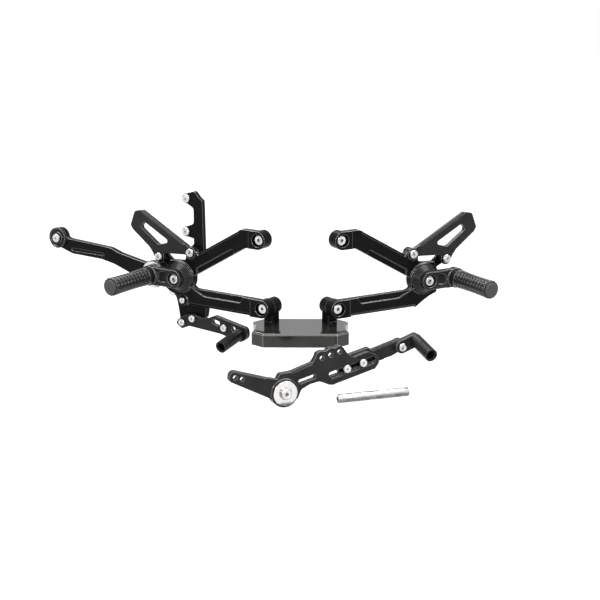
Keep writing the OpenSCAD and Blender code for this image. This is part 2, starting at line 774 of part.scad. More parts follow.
module brake_toe_bolt() {
    color("#d0d0d0")
        brake_side()
            translate([tube_at[0], tube_at[1], toe_back])
                mirror([0, 0, 1])
                    button_bolt(small_d, small_head, small_head_h, toe_plate_t + 7);
}
module clevis_pin() {
    color("#d0d0d0")
        brake_side() {
            put_bolt(clevis_at, toe_arm_face, small_d, mid_head, 2.8, toe_arm_face - toe_arm_back + 8);
            ring(clevis_at, 9, small_d + 2 * tap_gap, toe_arm_back - 6, toe_arm_back);
        }
}
module spring_post() {
    color("#d0d0d0")
        brake_side()
            put_bolt(small_ear, arm_face + 1, small_d, 9, small_head_h, arm_t - 1);
}

// Bracket that would carry the master cylinder, on the back of the arm
cyl_plan = [
    [cyl_high[0] + 0.4, cyl_high[1] + 6.2, 0], [cyl_high[0] - 11, cyl_high[1] + 10.5, 3],
    [cyl_high[0] - 14.5, cyl_high[1] + 9.5, 3],
    [cyl_high[0] - 20, cyl_high[1] + 3, 3], [cyl_high[0] - 25.5, cyl_high[1] - 0.5, 3],
    [101, cyl_high[1] - 6, 4],
    [99.5, 60, 8], [99.5, 43, 6], [116, 26, 5], [125, 26, 5], [124.5, 64, 8], [101.2 + cyl_bar, 71, 4],
    [101.2 + cyl_bar, cyl_low[1] - 8, 2], [cyl_low[0] + 1.3, cyl_low[1] - 6.2, 0],
    [cyl_low[0] + 1.3, cyl_low[1] + 6.2, 0], [101.2 + cyl_bar, cyl_low[1] + 12, 5],
    [101.2 + cyl_bar, cyl_high[1] - 12, 5], [cyl_high[0] + 0.4, cyl_high[1] - 6.2, 0]];
module cylinder_bracket() {
    color("#1c1c1e")
        brake_side()
            difference() {
                union() {
                    plate(cyl_plan, cyl_back, cyl_face);
                    for (at = [cyl_low, cyl_high])
                        bar(at, 14, cyl_back, cyl_face);
                }
                for (at = [cyl_low, cyl_high])
                    bar(at, mid_d + 2 * tap_gap, cyl_back - 1, cyl_face + 1);
                bar(guard_in, mid_d + 2 * tap_gap, cyl_back - 1, cyl_face + 1);
                for (at = cyl_holes)
                    bar(at, small_d + 2 * hole_gap, cyl_back - 1, cyl_face + 1);
            }
}
module cylinder_bolts() {
    color("#d0d0d0")
        brake_side()
            for (at = [cyl_low, cyl_high])
                put_bolt(at, cyl_face, mid_d, mid_head, mid_head_h, cyl_t + 2);
}
module cylinder_bracket_screws() {
    color("#d0d0d0")
        brake_side()
            for (at = cyl_holes)
                translate([at[0], at[1], cyl_back])
                    mirror([0, 0, 1])
                        button_bolt(small_d, small_head, small_head_h, cyl_t + 5.4);
}

// Loose shift lever: x along the lever, y up, z out of its front face
tip_at = [158, 40];
root_at = [177, 46.5];
hub_r = shift_hub_d / 2;
module laid_lever() {
    translate([shift_x, shift_y, hub_r])
        rotate([0, 0, shift_yaw])
            rotate([90, 0, 0])
                children();
}
slot_mid = [91, 21];
slot_dir = [cos(slot_slope), sin(slot_slope)];
slot_nrm = [-sin(slot_slope), cos(slot_slope)];
function on_slot(s, p) = slot_mid + s * slot_dir + p * slot_nrm;
function at3(p, r) = [p[0], p[1], r];
link_hole = [-63.5, 26.5];
link_hole_d = 6;
left_arm = [[-71.5, 22.5, 5], [-20, -4.5, 10], [-8, -13, 0], [0, 0, 0], [-2, 16, 0], [-23, 21.4, 10],
    [-69.5, 36.5, 6.5]];
right_arm = [
    [5, -15, 0], [18, -9, 4], [22.5, 1.5, 6], [34, 6.8, 6], [46, 8.8, 6], [52.5, 6.3, 4], [59, 3, 5],
    [66, 2.1, 8], [121, 15.7, 5], [127, 23.5, 4], [124.5, 33, 4], [112, 39.5, 5], [92.5, 34.3, 3],
    [86, 37.8, 3],
    [82, 42.5, 3], [79, 47.5, 3.5], [73.5, 52, 4.5], [67, 48.4, 3], [61.5, 50, 4.5], [55, 46.3, 3],
    [49, 47, 4.5],
    [43, 44.8, 3], [40.5, 38.5, 3], [37.5, 33.6, 4], [8, 24.9, 6], [-6, 24.3, 4], [-11, 14, 0]];
hub_back = -3;
hub_face = shift_t + 2;
slider_bolt_at = [on_slot(-7.7, 1.5), on_slot(14.6, 1.5)];
ledge_drop = 2.4;
module shift_lever() {
    color("#1c1c1e")
        laid_lever()
            difference() {
                union() {
                    plate(left_arm, 0, shift_t);
                    plate(right_arm, 0, shift_t);
                    bar([0, 0], shift_hub_d, hub_back, hub_face);
                }
                plate([at3(on_slot(-32.3, -1.6), 3), at3(on_slot(32.3, -1.6), 3),
                    at3(on_slot(32.3, 4.7), 3), at3(on_slot(-32.3, 4.7), 3)],
                    -1, shift_t + 1);
                plate([at3(on_slot(-30.5, -4.7), 2.5), at3(on_slot(30.5, -4.7), 2.5),
                    at3(on_slot(30.5, 2), 2.5), at3(on_slot(-30.5, 2), 2.5)],
                    shift_t - ledge_drop, shift_t + 1);
                for (i = [0 : 14])
                    translate([on_slot(-27.3 + 3.9 * i, -3.2)[0], on_slot(-27.3 + 3.9 * i, -3.2)[1],
                        shift_t - ledge_drop - 1.4])
                        rotate([0, 0, slot_slope])
                            translate([-0.9, -0.9, 0])
                                cube([1.8, 1.8, 3]);
                plate([[20, 8, 2.4], [42, 13.2, 2.4], [40.8, 19.2, 2.4], [17.8, 13.6, 2.4]],
                    -1, shift_t + 1);
                bevel([-68, 36], [-24, 21.7], 1.8, shift_t, 0);
                bevel([9, 25.2], [36.5, 33.3], 2.2, shift_t, 0);
                bevel([67, 2.35], [120, 15.45], 1.2, shift_t, 0);
                for (at = [link_hole, link_hole + [9, -3]])
                    bar(at, link_hole_d, -1, shift_t + 1);
                for (at = [[49.8, 37.7], [61.5, 40.4], [73.5, 43.2]])
                    bar(at, 6, -1, shift_t + 1);
                bar([0, 0], bush_d + 2 * run_gap, hub_back - 1, hub_face + 1);
            }
}
module shift_bush() {
    color("#b9b9b9")
        laid_lever() {
            ring([0, 0], bush_d, big_d + 2 * tap_gap, hub_back - side_gap, hub_face + side_gap);
            ring([0, 0], 20, big_d + 2 * tap_gap, hub_back - side_gap - 1.5, hub_back - side_gap);
        }
}
module shift_washer() {
    color("#d8d8d8")
        laid_lever()
            difference() {
                ring([0, 0], shift_washer_d, big_d + 2 * tap_gap, hub_face + side_gap,
                    hub_face + side_gap + 2);
                translate([0, 0, hub_face + side_gap + 2])
                    rotate_extrude()
                        polygon([[shift_washer_d / 2 - 1, 0.2], [shift_washer_d / 2 + 1, 0.2],
                            [shift_washer_d / 2 + 1, -1.2]]);
            }
}
module shift_pivot_bolt() {
    color("#d0d0d0")
        laid_lever()
            put_bolt([0, 0], hub_face + side_gap + 2, big_d, big_head, big_head_h, 30);
}
slider_plan = [[76.5, 11.5, 4], [131, 23.2, 20], [tip_at[0] - 9, tip_at[1] - 12, 6],
    [tip_at[0] + 1.5, tip_at[1] - 7.5, 0], [tip_at[0] + 2, tip_at[1], 0],
    [tip_at[0] - 1.5, tip_at[1] + 7.5, 0],
    [118.5, 37.4, 1.5], [117.5, 42, 2], [88, 34.8, 4], [73.5, 26, 4]];
rest_u = [137, 144];
function under_slider(u) = let (p = slider_plan[1], q = slider_plan[2])
    p[1] + (u - p[0]) * (q[1] - p[1]) / (q[0] - p[0]) - 0.05;
module lever_rest() {
    color("#f2f2f0")
        laid_lever()
            plate([[rest_u[0], -hub_r, 0], [rest_u[1], -hub_r, 0], [rest_u[1], under_slider(rest_u[1]), 0],
                [rest_u[0], under_slider(rest_u[0]), 0]], -slider_t - 5, 0);
}
module shift_slider() {
    color("#1c1c1e")
        laid_lever()
            difference() {
                union() {
                    plate(slider_plan, -slider_t, 0);
                    bar(tip_at, slider_h, -slider_t, 0);
                }
                bevel([121, 38], [tip_at[0] - 8, 46.1], 2, 0, 0);
                for (at = slider_bolt_at)
                    bar(at, small_d + 2 * tap_gap, -slider_t - 1, 1);
                bar(tip_at, mid_d + 2 * tap_gap, -slider_t - 1, 1);
            }
}
module shift_slider_bolts() {
    color("#d0d0d0")
        laid_lever()
            for (at = slider_bolt_at)
                put_bolt(at, shift_t, small_d, small_head, small_head_h, shift_t + slider_t);
}
tip_t = 9;
tip_run = norm(root_at - tip_at);
tip_r = slider_h / 2;
module shift_tip() {
    color("#1c1c1e")
        laid_lever()
            difference() {
                translate([tip_at[0], tip_at[1], 0])
                    rotate([0, 0, atan2(root_at[1] - tip_at[1], root_at[0] - tip_at[0])])
                        plate([[-tip_r, -tip_r, tip_r - 0.1], [tip_run + tip_r, -tip_r, tip_r - 0.1],
                            [tip_run + tip_r, tip_r, tip_r - 0.1], [-tip_r, tip_r, tip_r - 0.1]],
                            side_gap, tip_t);
                bar(tip_at, mid_d + 2 * run_gap, -1, tip_t + 1);
                bar(root_at, small_d + 2 * hole_gap, -1, tip_t + 1);
            }
}
module shift_tip_bolt() {
    color("#d0d0d0")
        laid_lever()
            put_bolt(tip_at, tip_t + side_gap, mid_d, small_head, small_head_h, tip_t + side_gap + slider_t);
}
module shift_toe_tube() {
    color("#1c1c1e")
        laid_lever()
            translate([root_at[0], root_at[1], tip_t])
                toe_tube();
}
module shift_toe_bolt() {
    color("#d0d0d0")
        laid_lever()
            translate([root_at[0], root_at[1], side_gap])
                mirror([0, 0, 1])
                    button_bolt(small_d, small_head - 1.5, small_head_h, tip_t + 7);
}

// Loose linkage rod with two flats and a tapped hole in each end
module linkage_rod() {
    color("#c4c4c6")
        translate([shift_x + rod_right, shift_y + rod_behind, rod_d / 2])
            rotate([0, 0, rod_yaw])
                rotate([0, 90, 0])
                    difference() {
                        rotate_extrude()
                            polygon([[0, -rod_len / 2], [rod_d / 2 - 0.8, -rod_len / 2],
                                [rod_d / 2, -rod_len / 2 + 0.8],
                                [rod_d / 2, rod_len / 2 - 0.8], [rod_d / 2 - 0.8, rod_len / 2],
                                [0, rod_len / 2]]);
                        for (s = [-1, 1])
                            translate([s * (rod_d / 2 - 0.9), -rod_d, -6])
                                translate([s < 0 ? -rod_d : 0, 0, 0])
                                    cube([rod_d, 2 * rod_d, 12]);
                        for (s = [-1, 1])
                            translate([0, 0, s < 0 ? -rod_len / 2 - 1 : rod_len / 2 - 15])
                                cylinder(d = small_d, h = 16);
                    }
}

stand_riser();
lever_rest();
stand_block();
stand_post_left();
stand_post_right();
stand_screws();
bracket_brake_side();
bracket_shift_side();
mount_bolts_brake_side();
mount_bolts_shift_side();
heel_guard_brake_side();
heel_guard_shift_side();
heel_guard_bolts_brake_side();
heel_guard_bolts_shift_side();
peg_holder_brake_side();
peg_holder_shift_side();
holder_bolt_brake_side();
holder_bolt_shift_side();
peg_grip_brake_side();
peg_grip_shift_side();
peg_cap_brake_side();
peg_cap_shift_side();
peg_stud_brake_side();
peg_stud_shift_side();
brake_lever();
brake_lever_bush();
brake_lever_front_washer();
brake_lever_rear_washer();
rear_arm_disc();
rear_arm_bolt();
brake_toe_plate();
toe_plate_bolts();
brake_toe_tube();
brake_toe_bolt();
clevis_pin();
spring_post();
cylinder_bracket();
cylinder_bolts();
cylinder_bracket_screws();
shift_lever();
shift_bush();
shift_washer();
shift_pivot_bolt();
shift_slider();
shift_slider_bolts();
shift_tip();
shift_tip_bolt();
shift_toe_tube();
shift_toe_bolt();
linkage_rod();
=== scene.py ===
import json
import math

import bmesh
import bpy
from mathutils import Matrix, Vector


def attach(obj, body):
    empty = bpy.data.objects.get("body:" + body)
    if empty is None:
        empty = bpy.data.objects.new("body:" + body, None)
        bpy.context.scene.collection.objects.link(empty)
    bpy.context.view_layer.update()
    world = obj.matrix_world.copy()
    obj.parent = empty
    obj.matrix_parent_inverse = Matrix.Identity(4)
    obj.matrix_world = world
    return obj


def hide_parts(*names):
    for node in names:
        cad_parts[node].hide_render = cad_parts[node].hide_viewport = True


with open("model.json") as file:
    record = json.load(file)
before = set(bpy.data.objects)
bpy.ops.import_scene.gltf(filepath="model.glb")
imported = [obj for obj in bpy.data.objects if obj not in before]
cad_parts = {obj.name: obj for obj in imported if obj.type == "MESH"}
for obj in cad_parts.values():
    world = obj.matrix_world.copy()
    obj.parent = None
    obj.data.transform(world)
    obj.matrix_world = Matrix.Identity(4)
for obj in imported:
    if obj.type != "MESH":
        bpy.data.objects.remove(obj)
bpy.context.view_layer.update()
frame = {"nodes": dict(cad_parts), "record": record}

bl_info = {
    "name": "Rear Set Footrests",
    "version": (1, 0, 0),
    "blender": (4, 5, 0),
    "location": "View3D > Sidebar > Rear Sets",
    "description": "Dresses a pair of rear set footrests on a stand, a loose shift lever and a linkage rod",
    "category": "Object",
}

MM = 0.001

# Places that the solids have, in millimetres and degrees: the stand's post, and the bolts and peg of a side
POST_X = 38.0
POST_Y = 22.0
POST_REACH = 25.0
LOWER_BOLT_Z = 70.0
SPLAY = {"brake": 34.0, "shift": 31.0}
MOUNT_TOP = (5.3, 91.0)
GUARD_IN = (115.0, 60.8)
GUARD_OUT = (168.0, 48.7)
PEG_BOLT = (131.0, 26.0)
PEG_AXIS = (171.5, 26.0)
PEG_COLLAR_FACE = 20.0
# and the hub, slot, tip and toe bolt of the loose shift lever
LEVER_AT = (-21.0, -190.0, 17.75)
LEVER_YAW = 24.0
SLOT_MID = (91.0, 21.0)
SLOT_SLOPE = 13.0
TIP_PIVOT = (158.0, 40.0)
TOE_BOLT = (177.0, 46.5)

# Screws: diameter of the shank, diameter of the head and height of the head
M8 = (8, 15, 4.4)
M6 = (6, 12.5, 3.3)
M6_NARROW = (6, 10.5, 2.8)
M5 = (5, 10.5, 2.8)
M5_NARROW = (5, 9, 2.8)

# Bodies of the frame that the pieces ride on
BODY_SET = "stand_set"
BODY_BRAKE = "brake_lever_set"
BODY_TIP = "folding_tip"
BODY_PIVOT = "shift_pivot"

# The picture: its width and its middle's place to the right, in metres, and the sensor's width
PICTURE_WIDTH = 0.78
PICTURE_X = -0.00054
SENSOR_WIDTH = 36.0

BEVEL_SAMPLES = 12
SCREW_STEPS = 48


def side_matrix(side):
    """Local axes of one side assembly: x to the rear, y up, z out of the bracket face."""
    out = (Matrix.Translation((POST_X, POST_Y, LOWER_BOLT_Z))
           @ Matrix.Rotation(math.radians(SPLAY[side]), 4, "Z")
           @ Matrix.Rotation(math.radians(90), 4, "X")
           @ Matrix.Translation((0, 0, POST_REACH)))
    if side == "brake":
        out = Matrix.Diagonal((-1, 1, 1, 1)) @ out
    return out


def lever_matrix():
    """Local axes of the loose shift lever: x along it, y up, z out of its front face."""
    return (Matrix.Translation(LEVER_AT)
            @ Matrix.Rotation(math.radians(LEVER_YAW), 4, "Z")
            @ Matrix.Rotation(math.radians(90), 4, "X"))


def slot_point(along, across):
    """A point in the lever's axes, measured from the middle of the adjusting slot."""
    t = math.radians(SLOT_SLOPE)
    return (SLOT_MID[0] + along * math.cos(t) - across * math.sin(t),
            SLOT_MID[1] + along * math.sin(t) + across * math.cos(t))


def scaled(tone, share):
    """A colour made darker or paler."""
    return tuple(share * c for c in tone)


class Nodes:
    """Lays out the nodes of one material or of the world."""

    def __init__(self, tree):
        self.tree = tree

    def node(self, kind, **values):
        made = self.tree.nodes.new(kind)
        for key, value in values.items():
            setattr(made, key, value)
        return made

    def link(self, a, b):
        self.tree.links.new(a, b)

    def feed(self, socket, value):
        """Gives a socket another node's output, a colour or a number."""
        if isinstance(value, bpy.types.NodeSocket):
            self.link(value, socket)
        elif socket.type == "RGBA":
            socket.default_value = (*value, 1.0)
        else:
            socket.default_value = value

    def calc(self, operation, a, b):
        made = self.node("ShaderNodeMath", operation=operation)
        self.feed(made.inputs[0], a)
        self.feed(made.inputs[1], b)
        return made.outputs[0]

    def seen(self):
        """1 for the camera, glossy and transmission rays, which show a surface, and 0 for the rest."""
        path = self.node("ShaderNodeLightPath")
        rays = self.calc("MAXIMUM", path.outputs["Is Camera Ray"], path.outputs["Is Glossy Ray"])
        return self.calc("MAXIMUM", rays, path.outputs["Is Transmission Ray"])

    def blend(self, share, a, b, out):
        """Mixes two shaders into the socket of the output node."""
        made = self.node("ShaderNodeMixShader")
        for socket, value in zip(made.inputs, (share, a, b)):
            self.link(value, socket)
        self.link(made.outputs[0], out)


class Shader(Nodes):
    """The nodes of one material, with its patterns on Object coordinates."""

    def __init__(self, name):
        self.mat = bpy.data.materials.new(name)
        self.mat.use_nodes = True
        super().__init__(self.mat.node_tree)
        self.bsdf = next(n for n in self.tree.nodes if n.type == "BSDF_PRINCIPLED")
        self.coord = self.node("ShaderNodeTexCoord")

    def noise(self, scale, detail, rough=0.55):
        made = self.node("ShaderNodeTexNoise")
        made.inputs["Scale"].default_value = scale
        made.inputs["Detail"].default_value = detail
        made.inputs["Roughness"].default_value = rough
        self.link(self.coord.outputs["Object"], made.inputs["Vector"])
        return made.outputs["Fac"]

    def ramp(self, value, low, high, at_low=0.0, at_high=1.0):
        made = self.node("ShaderNodeMapRange")
        made.inputs["From Min"].default_value = low
        made.inputs["From Max"].default_value = high
        made.inputs["To Min"].default_value = at_low
        made.inputs["To Max"].default_value = at_high
        self.link(value, made.inputs["Value"])
        return made.outputs["Result"]

    def mix(self, share, a, b):
        """Mixes two colours; 6, 7 and 2 are the colour sockets of this node."""
        made = self.node("ShaderNodeMix", data_type="RGBA")
        self.feed(made.inputs[0], share)
        self.feed(made.inputs[6], a)
        self.feed(made.inputs[7], b)
        return made.outputs[2]

    def rounded(self, radius):
        """The surface's direction with its edges rounded."""
        made = self.node("ShaderNodeBevel", samples=BEVEL_SAMPLES)
        made.inputs["Radius"].default_value = radius
        return made.outputs["Normal"]

    def edge(self, radius):
        """How much the surface turns within a small radius: 0 on a flat, near 1 on an edge."""
        plain = self.node("ShaderNodeNewGeometry")
        dot = self.node("ShaderNodeVectorMath", operation="DOT_PRODUCT")
        self.link(self.rounded(radius), dot.inputs[0])
        self.link(plain.outputs["Normal"], dot.inputs[1])
        return self.ramp(dot.outputs["Value"], 0.99, 0.86)

    def finish(self, colour, rough, height, bump, distance, round_edge):
        """Joins colour, roughness, fine relief and rounded edges to the surface."""
        relief = self.node("ShaderNodeBump")
        relief.inputs["Strength"].default_value = bump
        relief.inputs["Distance"].default_value = distance
        self.link(height, relief.inputs["Height"])
        self.link(self.rounded(round_edge), relief.inputs["Normal"])
        self.link(colour, self.bsdf.inputs["Base Color"])
        self.link(rough, self.bsdf.inputs["Roughness"])
        self.link(relief.outputs["Normal"], self.bsdf.inputs["Normal"])
        return self.mat


def anodised(name, tone, edge_wear_and_highlight_tone, rough, level, round_edge=0.0013, least_wear_and_highlight=0.9):
    """Black anodised, milled aluminium: fine blasted grain, bare metal along its edges, paler there partly as
    wear and partly as a painted highlight.
    """
    s = Shader(name)
    s.bsdf.inputs["IOR"].default_value = 1.5
    s.bsdf.inputs["Specular IOR Level"].default_value = level
    cloud = s.ramp(s.noise(45.0, 3.0), 0.35, 0.65)
    uneven = s.ramp(s.noise(90.0, 3.0), 0.35, 0.65, least_wear_and_highlight, 1.0)
    # edges: partly worn bare metal, partly a painted highlight that makes them pale and metallic
    wear_and_highlight = s.calc("MULTIPLY", s.edge(0.0015), uneven)
    s.link(wear_and_highlight, s.bsdf.inputs["Metallic"])
    colour = s.mix(wear_and_highlight, s.mix(cloud, tone, scaled(tone, 1.5)), edge_wear_and_highlight_tone)
    roughness = s.ramp(s.noise(120.0, 3.0), 0.3, 0.7, rough - 0.03, rough + 0.05)
    return s.finish(colour, roughness, height=s.noise(900.0, 2.0), bump=0.015, distance=0.00004,
                    round_edge=round_edge)


def steel(name, tone, rough, shade=False, painted_shade_height=0.0):
    """Bright turned steel with fine marks and a little dirt.

    With shade, a piece's own attribute paints shade on the rims and sockets of its screws. The last argument,
    a height in metres, paints shade over what lies lower than about half of it, the darker lower half of a lit
    rod.
    """
    s = Shader(name)
    s.bsdf.inputs["Metallic"].default_value = 1.0
    marks = s.noise(900.0, 3.0, 0.5)
    dirt = s.ramp(s.noise(220.0, 5.0), 0.42, 0.75)
    colour = s.mix(dirt, tone, scaled(tone, 0.82))
    if shade:
        # painted shade from the screws' own shade attribute: darker rims and sockets
        dark = s.node("ShaderNodeAttribute", attribute_name="shade")
        colour = s.mix(dark.outputs["Fac"], colour, (0.17, 0.16, 0.16))
    if painted_shade_height > 0:
        # painted shade: the rod's lower half is darkened, standing in for the shade under a lit rod
        split = s.node("ShaderNodeSeparateXYZ")
        s.link(s.coord.outputs["Object"], split.inputs[0])
        lower_painted_shade = s.ramp(split.outputs["Z"], 0.66 * painted_shade_height, 0.46 * painted_shade_height)
        lower_painted_shade = s.calc("MULTIPLY", lower_painted_shade, s.ramp(s.noise(140.0, 3.0), 0.3, 0.6, 0.7, 1.0))
        colour = s.mix(lower_painted_shade, colour, scaled(tone, 0.22))
    roughness = s.ramp(marks, 0.3, 0.7, rough - 0.04, rough + 0.06)
    return s.finish(colour, roughness, height=marks, bump=0.06, distance=0.00003, round_edge=0.0003)


def plastic(name, tone, rough, level):
    """Moulded plastic with a soft grain."""
    s = Shader(name)
    s.bsdf.inputs["IOR"].default_value = 1.46
    s.bsdf.inputs["Specular IOR Level"].default_value = level
    cloud = s.ramp(s.noise(60.0, 2.0), 0.35, 0.65)
    colour = s.mix(cloud, tone, scaled(tone, 0.93))
    roughness = s.ramp(s.noise(300.0, 3.0), 0.3, 0.7, rough - 0.05, rough + 0.06)
    return s.finish(colour, roughness, height=s.noise(1500.0, 2.0), bump=0.15, distance=0.0001,
                    round_edge=0.0004)


def link_object(name, data):
    """Adds a mesh, lamp or camera to the scene."""
    obj = bpy.data.objects.new(name, data)
    bpy.context.scene.collection.objects.link(obj)
    return obj


def place(name, bm, matrix, material, body, node, smooth_angle=35.0):
    """Writes a bmesh, drawn in millimetres in local axes, as the piece that replaces a solid."""
    bm.transform(Matrix.Scale(MM, 4) @ matrix)
    bmesh.ops.recalc_face_normals(bm, faces=bm.faces)
    limit = math.radians(smooth_angle)
    for e in bm.edges:
        e.smooth = len(e.link_faces) == 2 and e.calc_face_angle(0.0) < limit
    for f in bm.faces:
        f.smooth = True
    mesh = bpy.data.meshes.new(name)
    bm.to_mesh(mesh)
    bm.free()
    mesh.materials.append(material)
    obj = link_object(name, mesh)
    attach(obj, body)
    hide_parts(node)


def draw_line(bm, points, closed=False):
    """Draws a line through (radius, height) points and returns its vertices."""
    verts = [bm.verts.new((radius, 0, height)) for radius, height in points]
    for pair in zip(verts, verts[1:] + verts[:1] if closed else verts[1:]):
        bm.edges.new(pair)
    return verts


def turn_line(bm, steps):
    """Turns what is drawn once round the z axis."""
    bmesh.ops.spin(bm, geom=list(bm.verts) + list(bm.edges), cent=(0, 0, 0), axis=(0, 0, 1),
                   angle=2 * math.pi, steps=steps, use_merge=True)


def ring_edges(bm, radius, height):
    """The edges of the turned ring at a radius and height."""
    near = 1e-3
    ring = {v for v in bm.verts
            if abs(v.co.z - height) < near and abs(math.hypot(v.co.x, v.co.y) - radius) < near}
    return [e for e in bm.edges if e.verts[0] in ring and e.verts[1] in ring]


def button_screw(size, length):
    """A screw with its seat at the origin: flat head, chamfered rim, hexagon socket and ringed shank."""
    shank_d, head_d, head_h = size
    shank_r, head_r = shank_d / 2, head_d / 2
    key = 0.27 * shank_d  # corners of the hexagon
    lip = max(1.45 * key, 0.5 * head_r)  # inner edge of the flat face
    socket_z = head_h - 0.3
    pitch = 1.25 if shank_d > 7 else 0.9
    rings = int(min(0.6 * length, length - 2) / pitch)
    first_ring = -length + 0.8

    profile = [(shank_r - 0.6, -length), (shank_r, -length + 0.6)]
    for i in range(rings):
        z = first_ring + i * pitch
        profile += [(shank_r, z), (shank_r - 0.33 * pitch, z + 0.5 * pitch)]
    profile += [(shank_r, first_ring + rings * pitch), (shank_r, 0.0), (head_r - 0.25, 0.0), (head_r, 0.25),
                (head_r, 0.5 * head_h), (0.985 * head_r, 0.6 * head_h), (0.92 * head_r, 0.82 * head_h),
                (0.86 * head_r, 0.94 * head_h), (0.8 * head_r, head_h), (lip, head_h), (lip - 0.5, socket_z)]
    bm = bmesh.new()
    shade = bm.verts.layers.float.new("shade")
    draw_line(bm, profile)
    turn_line(bm, SCREW_STEPS)
    bmesh.ops.remove_doubles(bm, verts=bm.verts, dist=1e-4)

    # painted shade: the rim of the head is darkened, standing in for the dark reflection of its rounded edge
    for v in bm.verts:
        if v.co.z > 0.01:
            out = math.hypot(v.co.x, v.co.y) / head_r
            v[shade] = 0.8 * min(1.0, max(0.0, (out - 0.76) / 0.16))

    # the lip closes onto a hexagon, which goes down as the socket
    corners = [math.radians(60 * i) for i in range(6)]
    hexagon = [bm.verts.new((key * math.cos(a), key * math.sin(a), socket_z)) for a in corners]
    sides = [bm.edges.new(pair) for pair in zip(hexagon, hexagon[1:] + hexagon[:1])]
    bmesh.ops.bridge_loops(bm, edges=ring_edges(bm, lip - 0.5, socket_z) + sides)
    # painted shade in the socket: darker from its mouth down to its floor
    for v in hexagon:
        v[shade] = 0.6
    bottom = bmesh.ops.extrude_discrete_faces(bm, faces=[bm.faces.new(hexagon)])["faces"][0]
    bmesh.ops.translate(bm, verts=list(bottom.verts), vec=(0, 0, -0.6 * head_h))
    for v in bottom.verts:
        v[shade] = 1.0

    bmesh.ops.edgeloop_fill(bm, edges=ring_edges(bm, shank_r - 0.6, -length))
    return bm


def knurled_grip(g):
    """A foot peg grip along z: turned with a waist, then its blocks pushed out and its rim notched."""
    length, end_r, waist_r, high = g.length / MM, g.end_d / MM / 2, g.waist_d / MM / 2, g.knurl / MM
    root, rim = 8.0, 2.5  # the plain foot and the notched end
    bore_r, socket_r, socket_depth = 4.1, 5.9, 9
    notch = 0.7
    pitch = (length - root - rim) / g.rows
    columns = 3 * g.round_count

    def waisted(share):
        return waist_r + (end_r - waist_r) * (2 * share - 1) ** 2

    profile = [(bore_r, 0.0), (end_r - 0.6, 0.0), (end_r - 0.15, 0.2), (end_r, 0.6), (end_r, 0.6 * root),
               (waisted(0.1), root)]
    blocks = []
    for i in range(g.rows):
        foot, floor_r = root + i * pitch, waisted((i + 0.5) / g.rows) - high
        blocks += [len(profile) + 1, len(profile) + 2]
        profile += [(floor_r, foot + share * pitch) for share in (0.08, 0.25, 0.72, 0.9)]
    notches = [len(profile), len(profile) + 1]
    profile += [(end_r, length - 0.7 * rim), (end_r, length - 0.8), (end_r - 0.8, length), (socket_r, length),
                (socket_r, length - socket_depth), (bore_r, length - socket_depth)]

    bm = bmesh.new()
    push = bm.verts.layers.float.new("push")
    line = draw_line(bm, profile, closed=True)
    for k in blocks:
        line[k][push] = high
    for k in notches:
        line[k][push] = -notch
    turn_line(bm, columns)
    # of each three columns, two carry the blocks and one the notches
    for v in bm.verts:
        radius = math.hypot(v.co.x, v.co.y)
        column = round(math.atan2(v.co.y, v.co.x) * columns / (2 * math.pi))
        if (v[push] > 0) == (column % 3 > 0):
            v.co.xy = v.co.xy * ((radius + v[push]) / radius)
    bm.verts.layers.float.remove(push)
    return bm


class FinishColours(bpy.types.PropertyGroup):
    """Colours and roughness of the finishes"""
    anodised: bpy.props.FloatVectorProperty(
        name="Anodised black", description="Colour of the milled black parts",
        default=(0.0022, 0.0022, 0.0024), subtype="COLOR", min=0.0, max=1.0)
    # the edge colour is partly worn bare metal and partly a painted highlight
    edge: bpy.props.FloatVectorProperty(
        name="Edge", description="Colour of the black parts along their edges",
        default=(0.11, 0.11, 0.11), subtype="COLOR", min=0.0, max=1.0)
    block: bpy.props.FloatVectorProperty(
        name="Block", description="Colour of the polished display block",
        default=(0.006, 0.0058, 0.0052), subtype="COLOR", min=0.0, max=1.0)
    steel: bpy.props.FloatVectorProperty(
        name="Steel", description="Colour of the screws, washers and rod",
        default=(0.66, 0.645, 0.635), subtype="COLOR", min=0.0, max=1.0)
    cap: bpy.props.FloatVectorProperty(
        name="End cap", description="Colour of the plastic end caps of the pegs",
        default=(0.024, 0.024, 0.025), subtype="COLOR", min=0.0, max=1.0)
    riser: bpy.props.FloatVectorProperty(
        name="Riser", description="Colour of the pale riser under the stand",
        default=(0.96, 0.96, 0.96), subtype="COLOR", min=0.0, max=1.0)
    roughness: bpy.props.FloatProperty(
        name="Roughness", description="Roughness of the anodised parts", default=0.2, min=0.1, max=0.8,
        subtype="FACTOR")


class GripSizes(bpy.types.PropertyGroup):
    """Sizes of the knurled grips"""
    length: bpy.props.FloatProperty(
        name="Length", description="Length of a grip", default=77 * MM, unit="LENGTH")
    end_d: bpy.props.FloatProperty(
        name="End diameter", description="Diameter of a grip at its ends", default=24.5 * MM, unit="LENGTH")
    waist_d: bpy.props.FloatProperty(
        name="Waist diameter", description="Diameter of a grip at its waist", default=23.0 * MM, unit="LENGTH")
    knurl: bpy.props.FloatProperty(
        name="Knurl", description="Height of the knurling", default=0.9 * MM, unit="LENGTH")
    rows: bpy.props.IntProperty(
        name="Rows", description="Rows of knurling along a grip", default=10, min=8, max=30)
    round_count: bpy.props.IntProperty(
        name="Round", description="Points of knurling round a grip", default=14, min=10, max=30)


